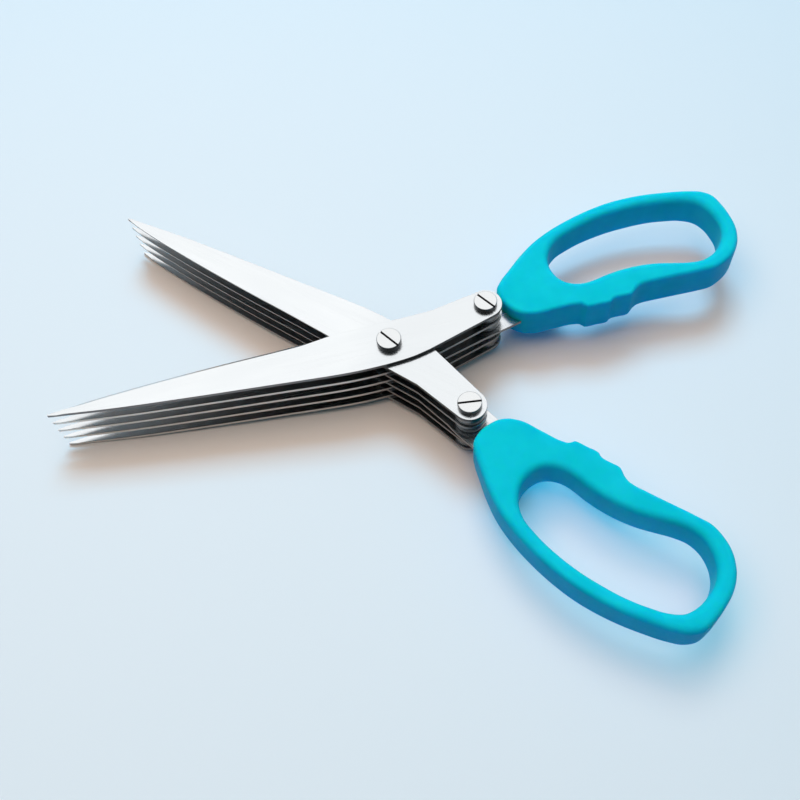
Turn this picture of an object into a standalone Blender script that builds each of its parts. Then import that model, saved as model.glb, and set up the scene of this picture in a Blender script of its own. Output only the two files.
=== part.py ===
"""Herb scissors: five blades on each side, stacked on one pivot, with two moulded loop handles.

Metres, +Z up. The pivot axis is Z, and the foot of the pivot nut stands at the origin.
+X runs from the pivot towards the handles, midway between the two halves.
Each half is drawn closed, its tip on -X and its handle on its own side of the closing line,
and is then turned open about the pivot. The finger half mirrors the thumb half.
"""

import math

import bmesh
import bpy

# The stack of blades, from the top layer down
PAIRS = 5
TANG_LAYER = 2
BLADE_THICKNESS = 0.0010
LAYER_PITCH = 0.0040
SLIDING_GAP = 0.0001
SEAT_GAP = 0.0001
HALF_OPENING = math.radians(21.85)

# The blade's outline, seen closed from above
BLADE_REACH = 0.0930
SPINE_DROP = 0.0069
EDGE_RISE = 0.0059
TIP_OVERLAP = 0.0003
TIP_BLUNT = 0.0004
SHOULDER_X = 0.0101
SHOULDER_DROP = 0.0050
CRANK_X = 0.0130
CRANK_RISE = 0.0072
GRIND_WIDTH = 0.0008
EDGE_LAND = 0.0003

# The ears and the tang, behind the pivot
EAR_X = 0.0282
EAR_Y = 0.0057
EAR_RADIUS = 0.00455
TANG_LENGTH = 0.0190
TANG_WIDTH = 0.0110
TANG_HOLE_RADIUS = 0.0016
POCKET_CLEARANCE = 0.0002

# Screws and nuts, spacers and washers
PIVOT_SHANK_RADIUS = 0.0020
REAR_SHANK_RADIUS = 0.0016
SHANK_CLEARANCE = 0.00008
PIVOT_HEAD_RADIUS = 0.00335
PIVOT_HEAD_HEIGHT = 0.0018
REAR_HEAD_RADIUS = 0.0032
REAR_HEAD_HEIGHT = 0.0014
HEAD_EDGE = 0.0002
SLOT_WIDTH = 0.0006
SLOT_DEPTH = 0.0007
PIVOT_SLOT_TURN = math.radians(-34)
THUMB_SLOT_TURN = math.radians(-56)
FINGER_SLOT_TURN = math.radians(37)
NUT_HEIGHT = 0.0020
NUT_FLOOR = 0.0007
NUT_END_GAP = 0.0002
PIVOT_NUT_RADIUS = 0.0036
REAR_NUT_RADIUS = 0.0034
NUT_EDGE = 0.0003
SPACER_RADIUS = 0.0041
WASHER_RADIUS = 0.0045

# The handle, on its side of the closing line. Its front is set off from the rear screw's axis
HANDLE_THICKNESS = 0.0109
HANDLE_OFFSET = 0.0049
HANDLE_LENGTH = 0.0723
HANDLE_WIDTH = 0.0353
STOP_FILLET = 0.00095
BACK_FILLET = 0.0018
LOOP_FILLET = 0.0023

# How far the neck, the stops and the grip stand back from the closing line
STOP_GAP = 0.0003
NECK_SETBACK = 0.00175
SHOULDER_SETBACK = 0.0012
GRIP_SETBACK = 0.0040

# The walls round the finger loop's opening
TANG_COVER = 0.0028
END_WALL = 0.0045
GRIP_WALL = 0.0041
BACK_WALL = 0.0041

# How finely the shapes are drawn
TURN_STEPS = 24
EAR_STEPS = 9
CURVE_STEPS = 2
FILLET_STEPS = 3
CUT_OVERRUN = 0.0010
WELD_DISTANCE = 0.00001

# Places along the blade, as shares of its reach and of its drop or rise
SPINE_SHARES = (
    (-0.80, -0.33), (-0.59, -0.57), (-0.38, -0.78), (-0.16, -0.99), (-0.04, -1.00), (0.05, -0.90),
)
EDGE_SHARES = (
    (-0.18, 1.00), (-0.32, 0.89), (-0.47, 0.80), (-0.63, 0.67), (-0.76, 0.53), (-0.87, 0.38), (-0.95, 0.22),
)
GRIND_RUNOUT_SHARES = ((-1.00, 0.0), (-0.90, 1.0), (-0.25, 1.0), (-0.17, 0.0))
# The tang from the rear screw's centre, as shares of the tang's length and width
TANG_SHARES = (
    (0.00, -0.49), (0.21, -0.40), (0.42, -0.30), (0.63, -0.19), (0.82, -0.04), (0.95, 0.14), (1.00, 0.32),
    (0.95, 0.50), (0.80, 0.62), (0.58, 0.66), (0.36, 0.66), (0.17, 0.59), (-0.03, 0.50), (-0.25, 0.37),
)
# The tang's hole, as shares of the tang's length and width
TANG_HOLE_SHARES = (0.65, 0.25)
# Where the inner side's straights start and end, as shares of the handle's length
NECK_SHARES = (0.109, 0.274)
PAD_SHARES = (0.324, 0.391)
SHOULDER_SHARES = (0.436, 0.492)
GRIP_SHARES = (0.573, 0.801)
# Places on the soft step between two straights, and how much of the step is done there
STEP_SHARES = ((0.25, 0.156), (0.50, 0.500), (0.75, 0.844))
# How far across the handle's width its outer rim has grown from the stops' fillet to the back's
SOFT_RIM_SHARE = 0.30
# The handle's round end and back, as shares of its length and width
HANDLE_SHARES = (
    (0.847, 0.118), (0.895, 0.157), (0.945, 0.232), (0.976, 0.318), (0.993, 0.408), (1.000, 0.500),
    (0.998, 0.610), (0.988, 0.740), (0.968, 0.845), (0.935, 0.903), (0.887, 0.938), (0.810, 0.970),
    (0.732, 0.992), (0.652, 1.000), (0.568, 0.993), (0.480, 0.965), (0.387, 0.917), (0.289, 0.843),
    (0.203, 0.750), (0.126, 0.630), (0.070, 0.523), (0.026, 0.436), (0.005, 0.376), (0.000, 0.309),
    (0.003, 0.256), (0.017, 0.187), (0.036, 0.127), (0.066, 0.079),
)
# The opening's outline, as shares of its length and depth
LOOP_SHARES = (
    (0.000, 0.420), (0.012, 0.250), (0.042, 0.135), (0.096, 0.058), (0.155, 0.036), (0.215, 0.052),
    (0.280, 0.085), (0.385, 0.115), (0.480, 0.118), (0.575, 0.095), (0.665, 0.050), (0.740, 0.012),
    (0.815, 0.000), (0.885, 0.048), (0.945, 0.152), (0.985, 0.285), (1.000, 0.420), (0.996, 0.560),
    (0.978, 0.715), (0.940, 0.845), (0.878, 0.920), (0.785, 0.968), (0.675, 0.997), (0.560, 1.000),
    (0.435, 0.980), (0.310, 0.925), (0.180, 0.835), (0.085, 0.735), (0.030, 0.610),
)

# The handle's front, and the opening's place and size between its walls
HANDLE_FRONT = EAR_X + HANDLE_OFFSET
LOOP_FRONT = EAR_X + TANG_LENGTH + TANG_COVER
LOOP_LENGTH = HANDLE_FRONT + HANDLE_LENGTH - END_WALL - LOOP_FRONT
LOOP_LOW = GRIP_SETBACK + GRIP_WALL
LOOP_DEPTH = HANDLE_WIDTH - BACK_WALL - LOOP_LOW

# Levels of the stack, worked out from the nut's foot upwards
LOWEST_FINGER_BLADE = NUT_HEIGHT + SEAT_GAP
LOWEST_THUMB_BLADE = LOWEST_FINGER_BLADE + BLADE_THICKNESS + SLIDING_GAP
STACK_TOP = LOWEST_THUMB_BLADE + (PAIRS - 1) * LAYER_PITCH + BLADE_THICKNESS

HALVES = {"thumb": 1, "finger": -1}
SLOT_TURNS = {"thumb": THUMB_SLOT_TURN, "finger": FINGER_SLOT_TURN}


def blade_base(half, layer):
    """Height of a blade's underside. Layer 0 is the top one."""
    lowest = LOWEST_THUMB_BLADE if half == "thumb" else LOWEST_FINGER_BLADE
    return lowest + (PAIRS - 1 - layer) * LAYER_PITCH


def clear_scene():
    for item in list(bpy.data.objects):
        bpy.data.objects.remove(item, do_unlink=True)


def new_collection(name):
    collection = bpy.data.collections.new(name)
    bpy.context.scene.collection.children.link(collection)
    return collection


def new_material(name, colour, metallic, roughness):
    material = bpy.data.materials.new(name)
    material.use_nodes = True
    shader = material.node_tree.nodes["Principled BSDF"]
    shader.inputs["Base Color"].default_value = (*colour, 1.0)
    shader.inputs["Metallic"].default_value = metallic
    shader.inputs["Roughness"].default_value = roughness
    return material


def add_object(name, mesh, collection, material=None, parent=None):
    item = bpy.data.objects.new(name, mesh)
    collection.objects.link(item)
    if material:
        mesh.materials.append(material)
    item.parent = parent
    return item


def add_cutter(name, mesh, parent=None):
    cutter = add_object(name, mesh, cutters, parent=parent)
    cutter.hide_render = True
    cutter.display_type = "WIRE"
    return cutter


def cut(item, cutter):
    boolean = item.modifiers.new("cut by " + cutter.name, "BOOLEAN")
    boolean.operation = "DIFFERENCE"
    boolean.solver = "EXACT"
    boolean.object = cutter


def mirrored(points, side):
    """The same outline on the other side of the closing line, still anticlockwise."""
    if side > 0:
        return list(points)
    return [(x, -y) for x, y in reversed(points)]


def through(points, steps):
    """A closed smooth curve through the points. Its slope at a point follows the neighbours, by distance."""
    count = len(points)
    spans = [math.dist(points[i], points[(i + 1) % count]) for i in range(count)]
    slopes = []
    for i, here in enumerate(points):
        before, after = points[i - 1], points[(i + 1) % count]
        come, go = spans[i - 1], spans[i]
        trios = zip(before, here, after)
        slopes.append([((h - b) * go / come + (a - h) * come / go) / (come + go) for b, h, a in trios])
    curve = []
    for i in range(count):
        following = (i + 1) % count
        for step in range(steps):
            t = step / steps
            blend = t**2 * (3 - 2 * t)
            leave, arrive = t * (1 - t) ** 2 * spans[i], -(t**2) * (1 - t) * spans[i]
            ends = zip(points[i], points[following], slopes[i], slopes[following])
            curve.append(tuple(p + (q - p) * blend + m * leave + n * arrive for p, q, m, n in ends))
    return curve


def offset_outline(points, distances):
    """Each point of an anticlockwise outline moved outwards, square to the line between its neighbours."""
    moved = []
    for i, ((x, y), distance) in enumerate(zip(points, distances)):
        before = points[i - 1]
        after = points[(i + 1) % len(points)]
        run, rise = after[0] - before[0], after[1] - before[1]
        length = math.hypot(run, rise)
        moved.append((x + distance * rise / length, y - distance * run / length))
    return moved


def tangent_angle(point, outer_side):
    """Where a line from the point touches the ear, as an angle seen from the ear's centre."""
    run, rise = point[0] - EAR_X, point[1] - EAR_Y
    half_angle = math.acos(EAR_RADIUS / math.hypot(run, rise))
    return math.atan2(rise, run) + (half_angle if not outer_side else -half_angle)


def ear_points():
    """The rounded ear, from the spine's side round the back to the crank's side."""
    start = tangent_angle((SHOULDER_X, -SHOULDER_DROP), False)
    end = tangent_angle((CRANK_X, CRANK_RISE), True)
    start -= 2 * math.pi * math.ceil((start - end) / (2 * math.pi))
    angles = (start + (end - start) * i / EAR_STEPS for i in range(EAR_STEPS + 1))
    return [(EAR_X + EAR_RADIUS * math.cos(a), EAR_Y + EAR_RADIUS * math.sin(a)) for a in angles]


def tang_place(along, across):
    return EAR_X + TANG_LENGTH * along, EAR_Y + TANG_WIDTH * across


def tang_points():
    return [tang_place(along, across) for along, across in TANG_SHARES]


def blade_outline(rear):
    """Anticlockwise from the tip along the spine, round the rear, and back along the cutting edge."""
    tip_y = TIP_OVERLAP
    spine = [(BLADE_REACH * along, SPINE_DROP * across) for along, across in SPINE_SHARES]
    edge = [(BLADE_REACH * along, EDGE_RISE * across) for along, across in EDGE_SHARES]
    tip = [(-BLADE_REACH, tip_y), (-BLADE_REACH, tip_y - TIP_BLUNT)]
    return tip + spine + [(SHOULDER_X, -SHOULDER_DROP)] + rear + [(CRANK_X, CRANK_RISE)] + edge


def grind_share(along):
    """How much of the grind's width a place on the edge has, read between the run-out's places."""
    places = GRIND_RUNOUT_SHARES
    for (start, low), (end, high) in zip(places, places[1:]):
        if start <= along <= end:
            return low + (high - low) * (along - start) / (end - start)
    return 0.0


def blade_mesh(name, half, rear):
    """The outline raised in two steps. The cutting edge leans in above its land, away from its partner."""
    side = HALVES[half]
    outline = mirrored(blade_outline(rear), side)
    shaper = bmesh.new()
    face = shaper.faces.new([shaper.verts.new((x, y, 0)) for x, y in outline])
    for rise, width in ((EDGE_LAND, 0), (BLADE_THICKNESS - EDGE_LAND, GRIND_WIDTH)):
        raised = bmesh.ops.extrude_face_region(shaper, geom=[face])["geom"]
        if width:
            bmesh.ops.delete(shaper, geom=[face], context="FACES_ONLY")
        face = next(item for item in raised if isinstance(item, bmesh.types.BMFace))
        for corner in face.verts:
            corner.co.z += rise
            if side * corner.co.y > -TIP_BLUNT:
                corner.co.y -= side * width * grind_share(corner.co.x / BLADE_REACH)
    bmesh.ops.recalc_face_normals(shaper, faces=shaper.faces)
    if half == "finger":
        for corner in shaper.verts:
            corner.co.z = BLADE_THICKNESS - corner.co.z
        bmesh.ops.reverse_faces(shaper, faces=shaper.faces)
    mesh = bpy.data.meshes.new(name)
    shaper.to_mesh(mesh)
    shaper.free()
    return mesh


def flat_mesh(name, outlines, thickness, collection):
    """A plate of the outlines, the inner ones as openings, from a filled 2D curve."""
    curve = bpy.data.curves.new(name, "CURVE")
    curve.dimensions = "2D"
    curve.fill_mode = "BOTH"
    curve.extrude = thickness / 2
    for outline in outlines:
        spline = curve.splines.new("POLY")
        spline.points.add(len(outline) - 1)
        for point, (x, y) in zip(spline.points, outline):
            point.co = (x, y, 0, 1)
        spline.use_cyclic_u = True
    guide = bpy.data.objects.new(name, curve)
    collection.objects.link(guide)
    graph = bpy.context.evaluated_depsgraph_get()
    mesh = bpy.data.meshes.new_from_object(guide.evaluated_get(graph))
    bpy.data.objects.remove(guide, do_unlink=True)
    bpy.data.curves.remove(curve)
    welder = bmesh.new()
    welder.from_mesh(mesh)
    bmesh.ops.remove_doubles(welder, verts=welder.verts, dist=WELD_DISTANCE)
    bmesh.ops.recalc_face_normals(welder, faces=welder.faces)
    welder.to_mesh(mesh)
    welder.free()
    return mesh


def turned_object(name, profile, closed, collection, material=None, parent=None):
    """A profile of (radius, height) points turned about Z by a Screw modifier."""
    count = len(profile)
    edges = [(i, i + 1) for i in range(count - 1)]
    if closed:
        edges.append((count - 1, 0))
    mesh = bpy.data.meshes.new(name)
    mesh.from_pydata([(radius, 0, height) for radius, height in profile], edges, [])
    item = add_object(name, mesh, collection, material, parent)
    screw = item.modifiers.new("turned", "SCREW")
    screw.axis = "Z"
    screw.steps = TURN_STEPS
    screw.render_steps = TURN_STEPS
    screw.use_smooth_shade = True
    screw.use_merge_vertices = True
    screw.merge_threshold = WELD_DISTANCE
    return item


def straight_points(shares, setback):
    """A straight of the handle's inner side: its start, middle and end."""
    start, end = (HANDLE_FRONT + HANDLE_LENGTH * share for share in shares)
    return [(start, setback), ((start + end) / 2, setback), (end, setback)]


def step_points(before, after):
    """The soft step from the end of one straight to the start of the next."""
    (start_x, start_y), (end_x, end_y) = before[-1], after[0]
    run, rise = end_x - start_x, end_y - start_y
    return [(start_x + run * along, start_y + rise * up) for along, up in STEP_SHARES]


def handle_outline():
    """Anticlockwise: along the neck and the stops, out to the grip, round the end and back."""
    neck = straight_points(NECK_SHARES, NECK_SETBACK)
    pad = straight_points(PAD_SHARES, STOP_GAP / 2)
    shoulder = straight_points(SHOULDER_SHARES, SHOULDER_SETBACK)
    grip = straight_points(GRIP_SHARES, GRIP_SETBACK)
    inner = neck + step_points(neck, pad) + pad + step_points(pad, shoulder)
    inner += shoulder + step_points(shoulder, grip) + grip
    back = [(HANDLE_FRONT + HANDLE_LENGTH * a, HANDLE_WIDTH * b) for a, b in HANDLE_SHARES]
    return through(inner + back, CURVE_STEPS)


def loop_outline():
    places = [(LOOP_FRONT + LOOP_LENGTH * a, LOOP_LOW + LOOP_DEPTH * b) for a, b in LOOP_SHARES]
    return through(places, CURVE_STEPS)


def circle_points(x, y, radius, steps):
    turns = (2 * math.pi * i / steps for i in range(steps))
    return [(x + radius * math.cos(turn), y + radius * math.sin(turn)) for turn in turns]


def outer_fillet(across):
    """The outer rim's fillet at a place: crisp by the stops, growing softer across the handle's width."""
    softness = min(1, abs(across) / (HANDLE_WIDTH * SOFT_RIM_SHARE))
    return STOP_FILLET + (BACK_FILLET - STOP_FILLET) * softness


def rim_levels(thickness, fillet):
    """Heights and insets up a wall whose two rims are quarter rounds."""
    turns = [math.pi / 2 * i / FILLET_STEPS for i in range(FILLET_STEPS + 1)]
    rounds = [(fillet * (1 - math.sin(turn)), fillet * (1 - math.cos(turn))) for turn in turns]
    lower = [(rise - thickness / 2, inset) for rise, inset in rounds]
    return lower[::-1] + [(-height, inset) for height, inset in lower]


def soft_plate(name, outline, loop, thickness):
    """A plate with one opening, lofted through outlines that draw in at each rim, and filled flat across."""
    shaper = bmesh.new()
    rims = {"low": [], "high": []}
    outer_fillets = [outer_fillet(y) for x, y in outline]
    loop_fillets = [LOOP_FILLET] * len(loop)
    for points, fillets, way in ((outline, outer_fillets, -1), (loop, loop_fillets, 1)):
        rings = []
        for level in zip(*(rim_levels(thickness, fillet) for fillet in fillets)):
            drawn = offset_outline(points, [way * inset for height, inset in level])
            rings.append([shaper.verts.new((x, y, height)) for (x, y), (height, inset) in zip(drawn, level)])
        for lower, upper in zip(rings, rings[1:]):
            for i in range(len(lower)):
                shaper.faces.new((lower[i - 1], lower[i], upper[i], upper[i - 1]))
        for rim, ring in (("low", rings[0]), ("high", rings[-1])):
            rims[rim] += [shaper.edges.get((ring[i - 1], ring[i])) for i in range(len(ring))]
    for edges in rims.values():
        bmesh.ops.triangle_fill(shaper, use_beauty=True, edges=edges)
    bmesh.ops.recalc_face_normals(shaper, faces=shaper.faces)
    mesh = bpy.data.meshes.new(name)
    shaper.to_mesh(mesh)
    shaper.free()
    return mesh


def make_handle(half, material, parent):
    """The moulded handle: an outline with its loop, soft rims, and a pocket round the tang."""
    side = HALVES[half]
    name = half + "_handle"
    outline, loop = mirrored(handle_outline(), side), mirrored(loop_outline(), side)
    handle = add_object(name, soft_plate(name, outline, loop, HANDLE_THICKNESS), parts, material, parent)
    middle = (blade_base("thumb", TANG_LAYER) + blade_base("finger", TANG_LAYER) + BLADE_THICKNESS) / 2
    handle.location = (0, 0, middle)
    pocket = offset_outline(tang_points(), [POCKET_CLEARANCE] * len(TANG_SHARES))
    peg = circle_points(*tang_place(*TANG_HOLE_SHARES), TANG_HOLE_RADIUS - POCKET_CLEARANCE, TURN_STEPS)
    outlines = [mirrored(pocket, side), mirrored(peg, side)]
    cutter_mesh = flat_mesh(name + "_pocket", outlines, BLADE_THICKNESS + 2 * POCKET_CLEARANCE, cutters)
    cutter = add_cutter(name + "_pocket", cutter_mesh, parent)
    cutter.location = (0, 0, blade_base(half, TANG_LAYER) + BLADE_THICKNESS / 2)
    cut(handle, cutter)


def hole_cutter(name, x, y, radius, parent=None):
    """A long drill at one place, through the whole stack."""
    bpy.ops.mesh.primitive_cylinder_add(vertices=TURN_STEPS, radius=radius, depth=STACK_TOP + CUT_OVERRUN)
    drill = bpy.context.active_object
    for owner in list(drill.users_collection):
        owner.objects.unlink(drill)
    cutters.objects.link(drill)
    drill.name = name
    drill.parent = parent
    drill.location = (x, y, STACK_TOP / 2)
    drill.hide_render = True
    drill.display_type = "WIRE"
    return drill


def make_blades(half, drills, material, parent):
    """The blades of one half. The third one has the tang, and the rest end in ears."""
    for layer in range(PAIRS):
        rear = tang_points() if layer == TANG_LAYER else ear_points()
        name = f"{half}_blade_{layer + 1}"
        blade = add_object(name, blade_mesh(name, half, rear), parts, material, parent)
        blade.location = (0, 0, blade_base(half, layer))
        for drill in drills:
            cut(blade, drill)
        if layer == TANG_LAYER:
            cut(blade, tang_drills[half])


def ring_profile(radius, bore, base, height):
    return [(bore, base), (bore, base + height), (radius, base + height), (radius, base)]


def make_spacers(half, material, parent):
    """One spacer under each ear but the lowest, round the rear screw."""
    height = LAYER_PITCH - BLADE_THICKNESS - 2 * SEAT_GAP
    for layer in range(1, PAIRS):
        base = blade_base(half, layer) + BLADE_THICKNESS + SEAT_GAP
        profile = ring_profile(SPACER_RADIUS, REAR_SHANK_RADIUS + SHANK_CLEARANCE, base, height)
        spacer = turned_object(f"{half}_ear_spacer_{layer}", profile, True, parts, material, parent)
        spacer.location = (EAR_X, HALVES[half] * EAR_Y, 0)


def make_washers(material):
    """One washer between each pair of blades and the next, round the pivot screw."""
    height = LAYER_PITCH - 2 * BLADE_THICKNESS - SLIDING_GAP - 2 * SEAT_GAP
    for layer in range(1, PAIRS):
        base = blade_base("thumb", layer) + BLADE_THICKNESS + SEAT_GAP
        profile = ring_profile(WASHER_RADIUS, PIVOT_SHANK_RADIUS + SHANK_CLEARANCE, base, height)
        turned_object(f"pivot_washer_{layer}", profile, True, parts, material)


def screw_profile(head_radius, head_height, shank_radius, seat, end):
    """From the middle of the head's top, out and down to the shank's end."""
    top = seat + head_height
    return [
        (0, top),
        (head_radius - HEAD_EDGE, top),
        (head_radius, top - HEAD_EDGE),
        (head_radius, seat),
        (shank_radius, seat),
        (shank_radius, end + HEAD_EDGE),
        (shank_radius - HEAD_EDGE, end),
        (0, end),
    ]


def nut_profile(radius, bore, base):
    """From the bore's floor, up the bore, over the top, down the outside and in under the foot."""
    top = base + NUT_HEIGHT
    return [
        (0, base + NUT_FLOOR),
        (bore, base + NUT_FLOOR),
        (bore, top),
        (radius, top),
        (radius, base + NUT_EDGE),
        (radius - NUT_EDGE, base),
        (0, base),
    ]


def make_slot(name, head_radius, turn, place, top, parent=None):
    """The box that cuts a screwdriver slot across a head."""
    shaper = bmesh.new()
    bmesh.ops.create_cube(shaper, size=1)
    sizes = (2 * (head_radius + CUT_OVERRUN), SLOT_WIDTH, 2 * SLOT_DEPTH)
    bmesh.ops.scale(shaper, vec=sizes, verts=shaper.verts)
    mesh = bpy.data.meshes.new(name)
    shaper.to_mesh(mesh)
    shaper.free()
    cutter = add_cutter(name, mesh, parent)
    cutter.location = (*place, top)
    cutter.rotation_euler = (0, 0, turn)
    return cutter


def make_rear_screw(half, material, parent):
    """The screw through one half's ears, and its nut under the lowest ear."""
    seat = blade_base(half, 0) + BLADE_THICKNESS + SEAT_GAP
    nut_base = blade_base(half, PAIRS - 1) - SEAT_GAP - NUT_HEIGHT
    end = nut_base + NUT_FLOOR + NUT_END_GAP
    place = (EAR_X, HALVES[half] * EAR_Y)
    profile = screw_profile(REAR_HEAD_RADIUS, REAR_HEAD_HEIGHT, REAR_SHANK_RADIUS, seat, end)
    screw = turned_object(half + "_rear_screw", profile, False, parts, material, parent)
    screw.location = (*place, 0)
    top = seat + REAR_HEAD_HEIGHT
    cut(screw, make_slot(half + "_rear_slot", REAR_HEAD_RADIUS, SLOT_TURNS[half], place, top, parent))
    profile = nut_profile(REAR_NUT_RADIUS, REAR_SHANK_RADIUS + SHANK_CLEARANCE, nut_base)
    nut = turned_object(half + "_rear_nut", profile, False, parts, material, parent)
    nut.location = (*place, 0)


def make_pivot(material):
    """The screw that every blade turns on, and the nut that the scissors stand on."""
    seat = STACK_TOP + SEAT_GAP
    end = NUT_FLOOR + NUT_END_GAP
    profile = screw_profile(PIVOT_HEAD_RADIUS, PIVOT_HEAD_HEIGHT, PIVOT_SHANK_RADIUS, seat, end)
    screw = turned_object("pivot_screw", profile, False, parts, material)
    cut(screw, make_slot("pivot_slot", PIVOT_HEAD_RADIUS, PIVOT_SLOT_TURN, (0, 0), seat + PIVOT_HEAD_HEIGHT))
    bore = PIVOT_SHANK_RADIUS + SHANK_CLEARANCE
    turned_object("pivot_nut", nut_profile(PIVOT_NUT_RADIUS, bore, 0), False, parts, material)


def half_turn(half):
    """The empty on the pivot axis that turns one half open."""
    empty = add_object(half + "_half_turn", None, parts)
    empty.rotation_euler = (0, 0, HALVES[half] * HALF_OPENING)
    return empty


clear_scene()
parts = new_collection("herb_scissors")
cutters = new_collection("herb_scissors_cutters")
cutters.hide_render = True
handle_plastic = new_material("turquoise_plastic", (0.012, 0.56, 0.69), 0.0, 0.45)
blade_steel = new_material("polished_blade_steel", (0.62, 0.62, 0.615), 1.0, 0.20)
screw_steel = new_material("polished_screw_steel", (0.60, 0.595, 0.58), 1.0, 0.16)
spacer_steel = new_material("turned_spacer_steel", (0.30, 0.31, 0.31), 1.0, 0.32)

pivot_drill = hole_cutter("pivot_drill", 0, 0, PIVOT_SHANK_RADIUS + SHANK_CLEARANCE)
tang_drills = {}
for half, side in HALVES.items():
    turn = half_turn(half)
    rear_radius = REAR_SHANK_RADIUS + SHANK_CLEARANCE
    rear_drill = hole_cutter(half + "_rear_drill", EAR_X, side * EAR_Y, rear_radius, turn)
    hole_x, hole_y = tang_place(*TANG_HOLE_SHARES)
    tang_drills[half] = hole_cutter(half + "_tang_drill", hole_x, side * hole_y, TANG_HOLE_RADIUS, turn)
    make_blades(half, (pivot_drill, rear_drill), blade_steel, turn)
    make_handle(half, handle_plastic, turn)
    make_spacers(half, spacer_steel, turn)
    make_rear_screw(half, screw_steel, turn)
make_washers(spacer_steel)
make_pivot(screw_steel)
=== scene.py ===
"""Herb scissors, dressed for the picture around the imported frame.

Metres, +Z up, the pivot's axis on Z and the pivot nut's foot at the origin. Each half is drawn closed and
on the thumb's side, its tip on -X. Its points are then mirrored for the finger half and turned open about
the pivot.
"""

import math

import bmesh
import bpy
import numpy as np
from mathutils import Matrix, Vector
from mathutils.geometry import tessellate_polygon


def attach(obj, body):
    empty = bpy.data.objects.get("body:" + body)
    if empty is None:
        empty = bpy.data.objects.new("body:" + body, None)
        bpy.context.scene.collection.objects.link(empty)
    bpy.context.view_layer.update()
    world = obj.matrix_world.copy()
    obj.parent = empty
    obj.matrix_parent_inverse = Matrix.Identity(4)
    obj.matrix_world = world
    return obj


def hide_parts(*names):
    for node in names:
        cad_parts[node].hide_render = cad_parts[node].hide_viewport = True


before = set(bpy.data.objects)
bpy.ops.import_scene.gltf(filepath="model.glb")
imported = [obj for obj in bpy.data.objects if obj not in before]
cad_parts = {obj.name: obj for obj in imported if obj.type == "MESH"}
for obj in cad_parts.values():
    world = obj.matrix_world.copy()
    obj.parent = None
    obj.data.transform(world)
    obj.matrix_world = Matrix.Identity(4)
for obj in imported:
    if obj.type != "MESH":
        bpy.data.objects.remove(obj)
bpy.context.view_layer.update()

# The stack, as in the frame
PAIRS = 5
TANG_LAYER = 2
BLADE_THICKNESS = 0.0010
LAYER_PITCH = 0.0040
SEAT_GAP = 0.0001
SLIDING_GAP = 0.0001
NUT_HEIGHT = 0.0020
HALF_OPENING = math.radians(21.85)
SIDES = {"thumb": 1, "finger": -1}
LOWEST_BLADE = {"finger": NUT_HEIGHT + SEAT_GAP}
LOWEST_BLADE["thumb"] = LOWEST_BLADE["finger"] + BLADE_THICKNESS + SLIDING_GAP
STACK_TOP = LOWEST_BLADE["thumb"] + (PAIRS - 1) * LAYER_PITCH + BLADE_THICKNESS

# The blade, seen closed from above, with the pivot at (0, 0)
BLADE_REACH = 0.0930
SPINE_DROP = 0.0069
EDGE_RISE = 0.0059
TIP_OVERLAP = 0.0003
TIP_BLUNT = 0.0004
SHOULDER = (0.0101, -0.0050)
CRANK = (0.0130, 0.0072)
GRIND_WIDTH = 0.0008
EDGE_LAND = 0.0003
EDGE_BREAK = 0.00006
EAR = (0.0282, 0.0057)
EAR_RADIUS = 0.00455
TANG_LENGTH = 0.0190
TANG_WIDTH = 0.0110
TANG_HOLE_RADIUS = 0.0016

# Places on the blade, in shares of its reach and of the spine's drop or the edge's rise
SPINE_SHARES = (
    (-0.80, -0.33), (-0.59, -0.57), (-0.38, -0.78), (-0.16, -0.99), (-0.04, -1.00), (0.05, -0.90),
)
EDGE_SHARES = (
    (-0.18, 1.00), (-0.32, 0.89), (-0.47, 0.80), (-0.63, 0.67), (-0.76, 0.53), (-0.87, 0.38), (-0.95, 0.22),
)

# How much of the grind's width there is at places along the blade
GRIND_PLACES = (-1.00, -0.90, -0.25, -0.17)
GRIND_SHARES = (0.0, 1.0, 1.0, 0.0)

# Places on the tang, in shares of its length and width from the ear's middle
TANG_HOLE_SHARES = (0.65, 0.25)
TANG_SHARES = (
    (0.00, -0.49), (0.21, -0.40), (0.42, -0.30), (0.63, -0.19), (0.82, -0.04), (0.95, 0.14),
    (1.00, 0.32), (0.95, 0.50), (0.80, 0.62), (0.58, 0.66), (0.36, 0.66), (0.17, 0.59), (-0.03, 0.50),
    (-0.25, 0.37),
)

# Screws and nuts, spacers and washers
PIVOT_SHANK_RADIUS = 0.0020
REAR_SHANK_RADIUS = 0.0016
SHANK_CLEARANCE = 0.00008
PIVOT_HEAD = (0.00335, 0.0018)
REAR_HEAD = (0.0032, 0.0014)
HEAD_EDGE = 0.00024
SLOT_WIDTH = 0.0006
SLOT_DEPTH = 0.0007
SLOT_TURNS = {"pivot": math.radians(-34), "thumb": math.radians(-56), "finger": math.radians(37)}
NUT_FLOOR = 0.0007
NUT_END_GAP = 0.0002
PIVOT_NUT_RADIUS = 0.0036
REAR_NUT_RADIUS = 0.0034
NUT_EDGE = 0.0003
NUT_FOOT_RADIUS = PIVOT_NUT_RADIUS - NUT_EDGE
SPACER_RADIUS = 0.0041
WASHER_RADIUS = 0.0045
RING_EDGE = 0.00018
CORNER_SHARE = 0.3

# The handle, whose side towards the other handle lies near Y = 0
HANDLE_THICKNESS = 0.0109
HANDLE_FRONT = EAR[0] + 0.0049
HANDLE_LENGTH = 0.0723
HANDLE_WIDTH = 0.0353
SKIN_EASE = 0.00004
STOP_FILLET = 0.0008
BACK_FILLET = 0.0018
SOFT_RIM_SHARE = 0.30
RIM_REACH = 0.0012
LOOP_FILLET = 0.0021
FILLET_SHARE = 0.80
LOOP_FRONT = 0.0500
LOOP_LENGTH = 0.0509
LOOP_LOW = 0.0081
LOOP_DEPTH = 0.0231
LOOP_MIDDLE = (0.0750, 0.0200)

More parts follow.
